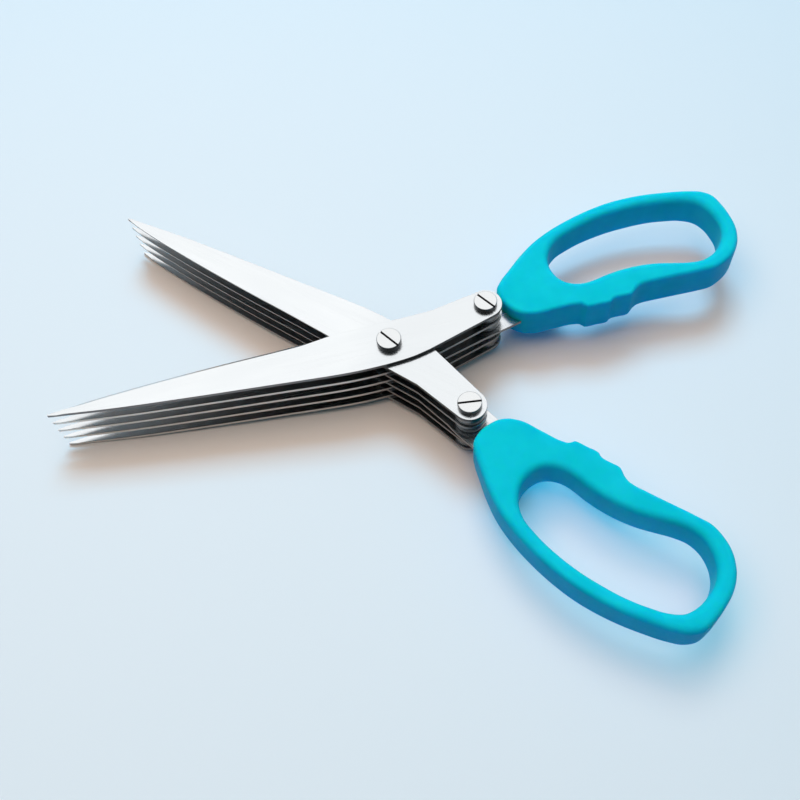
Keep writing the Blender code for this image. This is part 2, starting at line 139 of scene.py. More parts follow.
# The side with the stops: places in shares of the handle's length, and how far each is set back from Y = 0
STOP_PLACES = (
    (0.109, 0.00175), (0.195, 0.00175), (0.279, 0.00175), (0.297, 0.00148), (0.308, 0.00080),
    (0.3155, 0.00024), (0.322, 0.00015), (0.365, 0.00015), (0.402, 0.00015), (0.409, 0.00026),
    (0.418, 0.00076), (0.427, 0.00106), (0.438, 0.00118), (0.450, 0.00120), (0.470, 0.00120),
    (0.488, 0.00120), (0.4965, 0.00132), (0.509, 0.00195), (0.523, 0.00282), (0.544, 0.00362),
    (0.570, 0.00395), (0.600, 0.00400), (0.700, 0.00400), (0.801, 0.00400),
)

# The rest of the handle's outline, in shares of its length and width
HANDLE_SHARES = (
    (0.847, 0.118), (0.895, 0.157), (0.945, 0.232), (0.976, 0.318), (0.993, 0.408), (1.000, 0.500),
    (0.998, 0.610), (0.988, 0.740), (0.968, 0.845), (0.935, 0.903), (0.887, 0.938), (0.810, 0.970),
    (0.732, 0.992), (0.652, 1.000), (0.568, 0.993), (0.480, 0.965), (0.387, 0.917), (0.289, 0.843),
    (0.203, 0.750), (0.126, 0.630), (0.070, 0.523), (0.026, 0.436), (0.005, 0.376), (0.000, 0.309),
    (0.003, 0.256), (0.017, 0.187), (0.036, 0.127), (0.066, 0.079),
)

# The loop's outline, in shares of its length and depth
LOOP_SHARES = (
    (0.000, 0.420), (0.012, 0.250), (0.042, 0.135), (0.096, 0.058), (0.155, 0.036), (0.215, 0.052),
    (0.280, 0.085), (0.385, 0.115), (0.480, 0.118), (0.575, 0.095), (0.665, 0.050), (0.740, 0.012),
    (0.815, 0.000), (0.885, 0.048), (0.945, 0.152), (0.985, 0.285), (1.000, 0.420), (0.996, 0.560),
    (0.978, 0.715), (0.940, 0.845), (0.878, 0.920), (0.785, 0.968), (0.675, 0.997), (0.560, 1.000),
    (0.435, 0.980), (0.310, 0.925), (0.180, 0.835), (0.085, 0.735), (0.030, 0.610),
)

# How finely the surfaces are drawn
OUTLINE_STEPS = 12
ROUND_STEPS = 96
RIM_STEPS = 8
FACE_STEPS = 10
BLADE_STEPS = 8
TANG_STEPS = 6
EAR_STEPS = 48
HEAD_ROWS = 28
SLOT_ROWS = 5
HEAD_RIM_STEPS = 6
HEAD_FACE_STEPS = 16
HEAD_WALL_SHARE = 0.4

# Edges sharper than these angles are drawn crisp
CREASE = math.radians(35)
BLADE_CREASE = math.radians(20)

# Points this close are one, and an edge this short is none
WELD_REACH = 1e-7
SLIVER_LENGTH = 1e-8

# A face whose normal rises this much is level, and a slot's faces are looked for this far past its walls
LEVEL_RISE = 0.5
SLOT_SLACK = 0.000006

# The camera, solved from the picture
CAMERA_PLACE = (0.04187, -0.13801, 0.23623)
CAMERA_AZIMUTH = math.radians(16.570)
CAMERA_ELEVATION = math.radians(59.787)
CAMERA_ROLL = math.radians(-7.757)
CAMERA_LENS = 43.23
CAMERA_SENSOR = 36
CAMERA_CLIP = (0.01, 20)

# The plastic. Noise is given as (scale, detail, stretch), here and below, and a relief's depth in metres
PLASTIC_COLOUR = (0.003, 0.59, 0.69)
PLASTIC_DARK = (0.003, 0.565, 0.66)
PLASTIC_LIGHT = (0.006, 0.615, 0.715)
PLASTIC_CLOUD = (160, 2.0)
PLASTIC_ROUGHNESS = 0.5
PLASTIC_ROUGH_RANGE = (0.44, 0.56)
PLASTIC_SHEEN = (900, 4.0)
PLASTIC_SPECULAR = 0.04
SINK_MARKS = (90, 1.0)
SINK_DEPTH = 0.00012
PLASTIC_GRAIN = (5200, 2.0)
PLASTIC_GRAIN_DEPTH = 0.000012
SKIN_RADIUS = (0.05, 0.25, 1.0)
SKIN_SCALE = 0.004

# The flats of the blades: the darkest and the lightest colour, and the range of the roughness. The
# undersides are duller, and their colour is painted darker than the steel is, as shade between the stacked
# blades
POLISHED = ((0.55, 0.555, 0.555), (0.615, 0.615, 0.61), (0.16, 0.28))
UNDERSIDE_DULL_PAINTED_SHADE = ((0.24, 0.24, 0.24), (0.28, 0.28, 0.28), (0.30, 0.42))
BLADE_STREAK = (2600, 3.0, (60, 1, 1))
STREAK_DEPTH = 0.000004
BLADE_CLOUD = (120, 2.0, (4, 1, 1))
CLOUD_SHARES = (0.5, 1.0)
# The share of the lighter colour kept on the arm behind the pivot, which paints shade there
ARM_PAINTED_SHADE_SHARE = 0.2

# The blades' upright edges: the colour along the blade and on the arm, which fades over at the pivot. It is
# painted light: a bright painted reflection along the blade and painted shade on the arm, darker still on
# the uppermost blade's edges
EDGE_PAINTED_SHINE_AND_SHADE = ((0.68, 0.68, 0.67), (0.24, 0.235, 0.23))
TOP_EDGE_PAINTED_SHADE = ((0.20, 0.20, 0.21), (0.08, 0.08, 0.08))
SHEARED_ROUGHNESS = 0.4
SHEARED_ROUGH_RANGE = (0.30, 0.48)
SHEARED_GRAIN = (2600, 3.0, (8, 8, 1))
SHEARED_DEPTH = 0.000006
PIVOT_FADE = (-0.012, 0.004)

# Steel of the screws and of the turned pieces: colour, plain roughness and the roughness's range. The
# slot's steel is painted nearly black, as painted shade inside it, and the side's steel painted dark, as
# painted shade on the heads' upright faces
SCREW_STEELS = {
    "polished": ((0.56, 0.555, 0.545), 0.10, (0.10, 0.20)),
    "slot": ((0.03, 0.03, 0.03), 0.35, (0.35, 0.5)),
    "side": ((0.15, 0.145, 0.14), 0.22, (0.22, 0.34)),
}
SCREW_GRAIN = (1800, 3.0, (1, 1, 3))
SCREW_DEPTH = 0.000004
TURNED = ((0.18, 0.185, 0.185), 0.3, (0.22, 0.36))
TURNED_RINGS = (3000, 2.0, (6, 6, 1))
TURNED_DEPTH = 0.000008

# The part of a noise's range that is in use, and the sockets by which a mixing node takes and gives colours
NOISE_MIDDLE = (0.3, 0.7)
MIX_SHARE, MIX_FIRST, MIX_SECOND, MIX_COLOUR = 0, 6, 7, 2

# The table
FLOOR_COLOUR = (0.77, 0.825, 0.88)
FLOOR_BOUNCE = (0.15, 0.36, 0.76)
FLOOR_ROUGHNESS = 0.9
FLOOR_REACH = 2.5

# The lamps. What is let through is the share of the light that the finger handle doesn't stop
WINDOW = {"towards": (-0.08, 0.53, 0.84), "distance": 1.4, "size": (0.6, 0.5), "power": 12.5}
WINDOW_COLOUR = (0.30, 0.73, 1.0)
WINDOW_LET_THROUGH = (0.0, 0.45, 0.75)
SOFTBOX = {"towards": (-0.15, 0.0, 0.99), "distance": 0.6, "size": (0.62, 0.58), "power": 3.0}
SOFTBOX_COLOUR = (1.0, 0.61, 0.40)
SOFTBOX_LET_THROUGH = (0.0, 0.25, 0.19)

# The room. A spread runs from where a direction's share of the light begins to where it is whole, as
# cosines of the angle away from it
OVERHEAD = (0.0, 0.15, 0.988)
OVERHEAD_SPREAD = (0.35, 1.0)
SOFT_LOW = (0.02, 0.022, 0.025)
SOFT_HIGH = (0.27, 0.46, 0.50)
FAR_SIDE = (0.0, 0.8, 0.6)
FAR_SPREAD = (-0.3, 0.8)
MIRRORED_NEAR = (0.03, 0.03, 0.03)
MIRRORED_FAR = (0.50, 0.56, 0.62)
GLOW_TOWARDS = (-0.144, 0.482, 0.864)
GLOW_SPREAD = (math.cos(math.radians(42)), math.cos(math.radians(20)))
GLOW = (1.57, 1.62, 1.66)
BACKDROP = (0.72, 0.83, 0.90)


def blade_base(half, layer):
    """The height of a blade's underside, where layer 0 is the uppermost of its half."""
    return LOWEST_BLADE[half] + (PAIRS - 1 - layer) * LAYER_PITCH


def opened(points, half):
    """Points of a half as it is drawn, mirrored for the finger half and turned open about the pivot."""
    points = np.array(points, float)
    side = SIDES[half]
    turn = side * HALF_OPENING
    x, y = points[..., 0].copy(), side * points[..., 1]
    points[..., 0] = x * math.cos(turn) - y * math.sin(turn)
    points[..., 1] = x * math.sin(turn) + y * math.cos(turn)
    return points


def smooth_outline(points, steps):
    """A closed curve through the points: on each span a cubic whose end slopes are the neighbouring spans'
    slopes, each weighted by the other span's length."""
    here = np.array(points, float)
    before, after = np.roll(here, 1, axis=0), np.roll(here, -1, axis=0)
    spans = np.linalg.norm(after - here, axis=1)[:, None]
    come = np.roll(spans, 1, axis=0)
    slopes = ((here - before) * spans / come + (after - here) * come / spans) / (come + spans)
    t = (np.arange(steps) / steps)[None, :, None]
    blend = t**2 * (3 - 2 * t)
    first, second, span = here[:, None], after[:, None], spans[:, None]
    curve = first + (second - first) * blend
    curve = curve + slopes[:, None] * span * t * (1 - t) ** 2
    curve = curve - np.roll(slopes, -1, axis=0)[:, None] * span * t**2 * (1 - t)
    return curve.reshape(-1, 2)


def outward(points):
    """Unit normals of a closed anticlockwise outline, square to the line between a point's neighbours."""
    run = np.roll(points, -1, axis=0) - np.roll(points, 1, axis=0)
    run /= np.linalg.norm(run, axis=1)[:, None]
    return np.stack([run[:, 1], -run[:, 0]], axis=1)


def broad_outward(points, reach):
    """Unit normals of a closed anticlockwise outline, each square to the line between the places at this
    reach before and after it, so that an inset along them doesn't fold in a sharp corner."""
    run = np.linalg.norm(np.roll(points, -1, axis=0) - points, axis=1)
    along = np.cumsum(run) - run
    places = [
        np.stack([np.interp(along + shift, along, line, period=run.sum()) for line in points.T], axis=1)
        for shift in (reach, -reach)
    ]
    ahead = places[0] - places[1]
    ahead /= np.linalg.norm(ahead, axis=1)[:, None]
    return np.stack([ahead[:, 1], -ahead[:, 0]], axis=1)


def grid_faces(rows, columns, close_rows, close_columns):
    """Quads over a grid of points, wrapped round where it closes."""
    i = np.arange(rows if close_rows else rows - 1)[:, None]
    j = np.arange(columns if close_columns else columns - 1)[None, :]
    below, beside = (i + 1) % rows, (j + 1) % columns
    here, there = i * columns, below * columns
    return np.stack([here + j, there + j, there + beside, here + beside], axis=-1).reshape(-1, 4)


def at_height(line, height):
    """A flat line's points raised to one height, or to a height each."""
    return np.column_stack([line, np.broadcast_to(height, (len(line), 1))])


def add_piece(name, points, faces, materials, body, replaced, crease=CREASE):
    """A mesh piece, welded, with its faces outwards, riding on a body in a CAD node's place."""
    mesh = bpy.data.meshes.new(name)
    mesh.from_pydata(np.asarray(points).reshape(-1, 3).tolist(), [], faces)
    weld(mesh)
    for material in materials:
        mesh.materials.append(material)
    mesh.shade_smooth()
    mesh.set_sharp_from_angle(angle=crease)
    piece = bpy.data.objects.new(name, mesh)
    bpy.context.scene.collection.objects.link(piece)
    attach(piece, body)
    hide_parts(*replaced)
    return piece


def weld(mesh):
    """Joins points that meet, drops the faces that this leaves empty, and turns the rest outwards."""
    welder = bmesh.new()
    welder.from_mesh(mesh)
    bmesh.ops.remove_doubles(welder, verts=welder.verts, dist=WELD_REACH)
    bmesh.ops.dissolve_degenerate(welder, edges=welder.edges, dist=SLIVER_LENGTH)
    bmesh.ops.recalc_face_normals(welder, faces=welder.faces)
    welder.to_mesh(mesh)
    welder.free()


def handle_outline():
    """Anticlockwise from the front of the stops, along them and back round the loop's far side."""
    stops = [(HANDLE_FRONT + HANDLE_LENGTH * along, setback) for along, setback in STOP_PLACES]
    back = [
        (HANDLE_FRONT + HANDLE_LENGTH * along, HANDLE_WIDTH * across) for along, across in HANDLE_SHARES
    ]
    return smooth_outline(stops + back, OUTLINE_STEPS)


def loop_outline():
    points = [
        (LOOP_FRONT + LOOP_LENGTH * along, LOOP_LOW + LOOP_DEPTH * across) for along, across in LOOP_SHARES
    ]
    return smooth_outline(points, OUTLINE_STEPS)


def by_bearing(outline, bearings):
    """The outline read at given bearings from the loop's middle, where each bearing meets it once."""
    away = outline - np.array(LOOP_MIDDLE)
    angle = np.unwrap(np.arctan2(away[:, 1], away[:, 0]))
    order = np.argsort(angle % (2 * np.pi))
    angle, away = (angle % (2 * np.pi))[order], np.hypot(*away[order].T)
    reach = np.interp(bearings, angle, away, period=2 * np.pi)
    return np.array(LOOP_MIDDLE) + reach[:, None] * np.stack([np.cos(bearings), np.sin(bearings)], axis=1)


def handle_surface():
    """A ring of cross-sections round the loop. Each section climbs the loop's wall, rounds its rim, crosses
    the top face, rounds the outer rim, goes down the outer wall and comes back under. The rims are quarter
    circles, crisp by the stops and growing softer across the handle's width, and they leave a flat on the
    narrowest bars. The handle's middle is level with the middle of the two tangs."""
    outer = handle_outline()
    away = outer - np.array(LOOP_MIDDLE)
    bearings = np.arctan2(away[:, 1], away[:, 0])
    loop = by_bearing(loop_outline(), bearings)
    softness = np.clip(np.abs(outer[:, 1:]) / (HANDLE_WIDTH * SOFT_RIM_SHARE), 0, 1)
    rim = STOP_FILLET + (BACK_FILLET - STOP_FILLET) * softness
    outer -= outward(outer) * SKIN_EASE
    outer_normal, loop_normal = broad_outward(outer, RIM_REACH), outward(loop)
    wide = np.linalg.norm(outer - loop, axis=1)[:, None]
    fit = np.minimum(1, FILLET_SHARE * wide / (LOOP_FILLET + rim))
    rim, loop_rim = rim * fit, LOOP_FILLET * fit
    half = HANDLE_THICKNESS / 2
    turns = np.linspace(0, np.pi / 2, RIM_STEPS + 1)[1:-1]
    top_in, top_out = loop + loop_normal * loop_rim, outer - outer_normal * rim
    columns = []
    for up in (1, -1):
        quarter = [(loop, up * (half - loop_rim))]
        for turn in turns:
            inset = loop_rim * (1 - math.cos(turn))
            quarter.append((loop + loop_normal * inset, up * (half - loop_rim * (1 - math.sin(turn)))))
        for share in np.linspace(0, 1, FACE_STEPS + 1):
            quarter.append((top_in + (top_out - top_in) * share, up * half))
        for turn in turns[::-1]:
            inset = rim * (1 - math.cos(turn))
            quarter.append((outer - outer_normal * inset, up * (half - rim * (1 - math.sin(turn)))))
        quarter.append((outer, up * (half - rim)))
        columns += [at_height(line, height) for line, height in quarter[::up]]
    surface = np.stack(columns, axis=1)
    tangs = [blade_base(name, TANG_LAYER) for name in SIDES]
    surface[..., 2] += (sum(tangs) + BLADE_THICKNESS) / 2
    return surface


def add_handle(half, material):
    surface = opened(handle_surface(), half)
    faces = grid_faces(*surface.shape[:2], True, True)
    name, body = half + "_handle", half + "_half"
    add_piece(name + "_moulding", surface, faces.tolist(), [material], body, [name])


def tangent_angle(point, outer_side):
    """Where a line from the point touches the ear, as seen from the ear's centre."""
    run, rise = point[0] - EAR[0], point[1] - EAR[1]
    half_angle = math.acos(EAR_RADIUS / math.hypot(run, rise))
    return math.atan2(rise, run) + (-half_angle if outer_side else half_angle)


def ear_outline():
    """The round of the ear, from where the shoulder's line touches it to where the crank's line does."""
    start, end = tangent_angle(SHOULDER, False), tangent_angle(CRANK, True)
    start -= 2 * math.pi * math.ceil((start - end) / (2 * math.pi))
    angles = np.linspace(start, end, EAR_STEPS + 1)
    return np.stack([EAR[0] + EAR_RADIUS * np.cos(angles), EAR[1] + EAR_RADIUS * np.sin(angles)], axis=1)


def tang_place(along, across):
    """A place on the tang from its shares."""
    return EAR[0] + TANG_LENGTH * along, EAR[1] + TANG_WIDTH * across


def rounded_run(points, steps):
    """An open curve through the points, smooth in between, from the first to the last."""
    here = np.array(points, float)
    before = np.vstack([2 * here[:1] - here[1:2], here[:-1]])
    after = np.vstack([here[1:], 2 * here[-1:] - here[-2:-1]])
    slope = (after - before) / 2
    t = (np.arange(steps) / steps)[None, :, None]
    a, b = here[:-1, None], here[1:, None]
    m, n = slope[:-1, None], slope[1:, None]
    curve = (2 * t**3 - 3 * t**2 + 1) * a + (t**3 - 2 * t**2 + t) * m
    curve = curve + (3 * t**2 - 2 * t**3) * b + (t**3 - t**2) * n
    return np.vstack([curve.reshape(-1, 2), here[-1:]])


def blade_outline(with_tang):
    """Anticlockwise from the tip along the spine, round the rear, and back along the cutting edge."""
    tip = [(-BLADE_REACH, TIP_OVERLAP), (-BLADE_REACH, TIP_OVERLAP - TIP_BLUNT)]
    spine = [(BLADE_REACH * along, SPINE_DROP * across) for along, across in SPINE_SHARES]
    edge = [(BLADE_REACH * along, EDGE_RISE * across) for along, across in EDGE_SHARES]
    tang = [tang_place(*shares) for shares in TANG_SHARES]
    rear = rounded_run(tang, TANG_STEPS) if with_tang else ear_outline()
    under = rounded_run(tip[1:] + spine + [SHOULDER], BLADE_STEPS)
    over = rounded_run([CRANK] + edge + tip[:1], BLADE_STEPS)
    return np.vstack([under, rear, over])


def circle(centre, radius):
    """A circle's points, clockwise, so that as a hole it keeps the material on its left."""
    turn = -2 * np.pi * np.arange(ROUND_STEPS) / ROUND_STEPS
    return np.stack([centre[0] + radius * np.cos(turn), centre[1] + radius * np.sin(turn)], axis=1)


def plate(rings, holes):
    """A plate lofted up through rings of (outline, height), with straight holes and flat ends."""
    walls = [at_height(line, height) for line, height in rings]
    points = [np.vstack(walls)]
    faces = [grid_faces(len(rings), len(rings[0][0]), False, True)]
    count = len(points[0])
    bottom = [(walls[0], 0)]
    top = [(walls[-1], count - len(walls[-1]))]
    for hole in holes:
        ends = [at_height(hole, height) for _, height in (rings[0], rings[-1])]
        points += ends
        faces.append(grid_faces(2, len(hole), False, True) + count)
        bottom.append((ends[0], count))
        top.append((ends[1], count + len(hole)))
        count += 2 * len(hole)
    quads = np.vstack(faces).tolist()
    for loops in (bottom, top):
        index = np.concatenate([start + np.arange(len(line)) for line, start in loops])
        triangles = tessellate_polygon([[Vector(point) for point in line] for line, _ in loops])
        quads += index[np.array(triangles)].tolist()
    return np.vstack(points), quads


def blade_surface(with_tang):
    """The blade in its own half's plane, its ground face upwards: its edges broken all round, and the
    cutting edge leaning in above its land by the grind's width."""
    outline = blade_outline(with_tang)
    normal = outward(outline)
    on_edge = (outline[:, 1] > -TIP_BLUNT) & (outline[:, 0] < 0)
    grind = GRIND_WIDTH * np.interp(outline[:, 0] / BLADE_REACH, GRIND_PLACES, GRIND_SHARES) * on_edge
    lean = np.stack([np.zeros_like(grind), -grind], axis=1)
    rings = [
        (outline - normal * EDGE_BREAK, 0.0),
        (outline, EDGE_BREAK),
        (outline, EDGE_LAND),
        (outline + lean, BLADE_THICKNESS - EDGE_BREAK),
        (outline + lean - normal * EDGE_BREAK, BLADE_THICKNESS),
    ]
    holes = [
        circle((0, 0), PIVOT_SHANK_RADIUS + SHANK_CLEARANCE),
        circle(EAR, REAR_SHANK_RADIUS + SHANK_CLEARANCE),
    ]
    if with_tang:
        holes.append(circle(tang_place(*TANG_HOLE_SHARES), TANG_HOLE_RADIUS))
    return plate(rings, holes)


def add_blades(half, materials):
    """A half's five blades. The finger half's are laid with their ground face down."""
    polished, underside_painted_shade, edges_painted_light, top_edges_painted_shade = materials
    for layer in range(PAIRS):
        points, faces = blade_surface(layer == TANG_LAYER)
        if half == "finger":
            points[:, 2] = BLADE_THICKNESS - points[:, 2]
        points[:, 2] += blade_base(half, layer)
        name = f"{half}_blade_{layer + 1}"
        # The underside takes painted shade and the edges painted reflection and shade, the uppermost
        # blade's edges the darkest
        used = [polished, underside_painted_shade, top_edges_painted_shade if layer == 0 else edges_painted_light]
        blade = add_piece(
            name + "_ground", opened(points, half), faces, used, half + "_half", [name],
            crease=BLADE_CREASE,
        )
        by_facing(blade.data, upper=0, lower=1, upright=2)


def turned(profile, centre):
    """A closed profile of (radius, height) carried round an upright axis."""
    profile = np.array(profile, float)
    turn = 2 * np.pi * np.arange(ROUND_STEPS) / ROUND_STEPS
    x = centre[0] + np.outer(np.cos(turn), profile[:, 0])
    y = centre[1] + np.outer(np.sin(turn), profile[:, 0])
    points = np.dstack([x, y, np.broadcast_to(profile[:, 1], x.shape)])
    return points, grid_faces(*points.shape[:2], True, True)


def ring(radius, bore, base, height, centre):
    """A ring with all four corners broken, the outer two in two steps."""
    top, edge, corner = base + height, RING_EDGE, RING_EDGE * CORNER_SHARE
    profile = [
        (bore + edge, base), (bore, base + edge), (bore, top - edge), (bore + edge, top),
        (radius - edge, top), (radius - corner, top - corner), (radius, top - edge),
        (radius, base + edge), (radius - corner, base + corner), (radius - edge, base),
    ]
    return turned(profile, centre)


def slotted_head(radius, height, seat, slot_turn, centre):
    """The head as rows laid across the slot. Each row is a section that climbs the wall, rounds the rim,
    crosses the top and comes down again. Rows between the slot's walls cross at its floor, and a row's
    reach at a level is the half chord of the head's circle there."""
    top = seat + height
    floor = top - SLOT_DEPTH
    half_slot = SLOT_WIDTH / 2
    edge_row = math.asin(half_slot / radius)
    outer = radius * np.sin(np.linspace(edge_row, np.pi / 2, HEAD_ROWS))
    inner = np.linspace(-half_slot, half_slot, SLOT_ROWS)
    rows = np.concatenate([-outer[::-1], inner, outer])
    in_slot = np.repeat([False, True, False], [HEAD_ROWS, SLOT_ROWS, HEAD_ROWS])
    rise = HEAD_EDGE * np.sin(np.linspace(0, np.pi / 2, HEAD_RIM_STEPS + 1))
    wall = [seat, seat + HEAD_WALL_SHARE * height, floor - HEAD_EDGE]
    levels = np.sort(np.concatenate([wall, top - HEAD_EDGE + rise]))[None, :]
    away = np.abs(rows)[:, None]
    past = np.clip(away - (radius - HEAD_EDGE), 0, HEAD_EDGE)
    crest = top - HEAD_EDGE + np.sqrt(HEAD_EDGE**2 - past**2)
    cap = np.where(in_slot[:, None], floor, crest)
    height_at = np.minimum(levels, cap)
    over = np.clip(height_at - (top - HEAD_EDGE), 0, HEAD_EDGE)
    reach = radius - HEAD_EDGE + np.sqrt(HEAD_EDGE**2 - over**2)
    chord = np.sqrt(np.clip(reach**2 - away**2, 0, None))
    share = np.linspace(-1, 1, HEAD_FACE_STEPS + 1)[None, 1:-1]
    across = chord[:, -1:] * share
    along = np.hstack([-chord, across, chord[:, ::-1]])
    up = np.hstack([height_at, np.broadcast_to(height_at[:, -1:], across.shape), height_at[:, ::-1]])
    side = np.broadcast_to(rows[:, None], along.shape)
    x = centre[0] + along * math.cos(slot_turn) - side * math.sin(slot_turn)
    y = centre[1] + along * math.sin(slot_turn) + side * math.cos(slot_turn)
    points = np.dstack([x, y, up])
    return points, grid_faces(*points.shape[:2], False, True)


def joined(*shapes):
    """Several (points, faces) shapes as one list of each."""
    points, faces, count = [], [], 0
    for shape, quads in shapes:
        flat = np.asarray(shape).reshape(-1, 3)
        points.append(flat)
        faces += (np.asarray(quads) + count).tolist()
        count += len(flat)
    return np.vstack(points), faces


def shank(radius, low, high, centre):
    """A screw's rod, its lower end eased."""
    end = [(0, low), (radius - HEAD_EDGE, low), (radius, low + HEAD_EDGE)]
    return turned([(0, high), *end, (radius, high)], centre)


def nut(radius, bore, base, centre):
    """A round blind nut: up the bore, over the mouth, down the outside and in under the foot."""
    floor, top = base + NUT_FLOOR, base + NUT_HEIGHT
    mouth, rim, foot, corner = NUT_EDGE / 3, NUT_EDGE / 2, NUT_EDGE, NUT_EDGE * CORNER_SHARE
    profile = [
        (0, floor), (bore, floor), (bore, top - mouth), (bore + mouth, top),
        (radius - rim, top), (radius, top - rim), (radius, base + foot),
        (radius - corner, base + corner), (radius - foot, base), (0, base),
    ]
    return turned(profile, centre)


def add_ring(name, radius, bore, base, height, centre, body, material):
    """A spacer or a washer."""
    points, faces = ring(radius, bore, base, height, centre)
    add_piece(name + "_turned", points, faces.tolist(), [material], body, [name])


def add_nut(name, radius, bore, base, centre, body, material):
    """The nut at a screw's lower end."""
    points, faces = nut(radius, bore, base, centre)
    add_piece(name + "_turned", points, faces.tolist(), [material], body, [name])


def add_screw(name, head, shank_radius, seat, end, slot_turn, centre, body, materials):
    """A slotted screw: its head on the seat and its shank down to the end."""
    radius, height = head
    rod = shank(shank_radius, end, seat + HEAD_EDGE, centre)
    points, faces = joined(slotted_head(radius, height, seat, slot_turn, centre), rod)
    screw = add_piece(name + "_polished", points, faces, materials, body, [name])
    # The upright faces take steel painted dark and the slot's faces steel painted nearly black: painted
    # shade
    by_facing(screw.data, upper=0, lower=0, upright=2)
    slot_inside(screw.data, 1, centre, slot_turn, seat + height)


def add_hardware(screw_steels, spacer_steel):
    """The spacers, rear screw and nut of each half, then the washers, screw and nut of the pivot."""
    ring_height = LAYER_PITCH - BLADE_THICKNESS - 2 * SEAT_GAP
    rear_bore = REAR_SHANK_RADIUS + SHANK_CLEARANCE
    for half, side in SIDES.items():
        body = half + "_half"
        centre = opened(EAR, half)
        for layer in range(1, PAIRS):
            base = blade_base(half, layer) + BLADE_THICKNESS + SEAT_GAP
            name = f"{half}_ear_spacer_{layer}"
            add_ring(name, SPACER_RADIUS, rear_bore, base, ring_height, centre, body, spacer_steel)
        seat = blade_base(half, 0) + BLADE_THICKNESS + SEAT_GAP
        nut_base = blade_base(half, PAIRS - 1) - SEAT_GAP - NUT_HEIGHT
        end = nut_base + NUT_FLOOR + NUT_END_GAP
        turn = SLOT_TURNS[half] + side * HALF_OPENING
        add_screw(
            half + "_rear_screw", REAR_HEAD, REAR_SHANK_RADIUS, seat, end, turn, centre, body, screw_steels
        )
        add_nut(half + "_rear_nut", REAR_NUT_RADIUS, rear_bore, nut_base, centre, body, spacer_steel)
    washer_height = LAYER_PITCH - 2 * BLADE_THICKNESS - SLIDING_GAP - 2 * SEAT_GAP
    bore = PIVOT_SHANK_RADIUS + SHANK_CLEARANCE
    centre, body = (0, 0), "thumb_half"
    for layer in range(1, PAIRS):
        base = blade_base("thumb", layer) + BLADE_THICKNESS + SEAT_GAP
        name = f"pivot_washer_{layer}"
        add_ring(name, WASHER_RADIUS, bore, base, washer_height, centre, body, spacer_steel)
    seat, end, turn = STACK_TOP + SEAT_GAP, NUT_FLOOR + NUT_END_GAP, SLOT_TURNS["pivot"]
    add_screw("pivot_screw", PIVOT_HEAD, PIVOT_SHANK_RADIUS, seat, end, turn, centre, body, screw_steels)
    add_nut("pivot_nut", PIVOT_NUT_RADIUS, bore, 0.0, centre, body, spacer_steel)


def ranged(tree, value, source, target=(0.0, 1.0), smooth=False):
    """A value carried from one range to another, and kept within it."""
    reach = tree.nodes.new("ShaderNodeMapRange")
    reach.interpolation_type = "SMOOTHSTEP" if smooth else "LINEAR"
    reach.inputs["From Min"].default_value, reach.inputs["From Max"].default_value = source
    reach.inputs["To Min"].default_value, reach.inputs["To Max"].default_value = target
    tree.links.new(value, reach.inputs["Value"])
    return reach.outputs["Result"]


def blended(tree, share, first, second):
    """The first colour where the share is 0, the second where it is 1. Each is a colour or an output."""
    mix = tree.nodes.new("ShaderNodeMix")
    mix.data_type = "RGBA"
    tree.links.new(share, mix.inputs[MIX_SHARE])
    for socket, colour in ((mix.inputs[MIX_FIRST], first), (mix.inputs[MIX_SECOND], second)):
        if isinstance(colour, tuple):
            socket.default_value = (*colour, 1.0)
        else:
            tree.links.new(colour, socket)
    return mix.outputs[MIX_COLOUR]


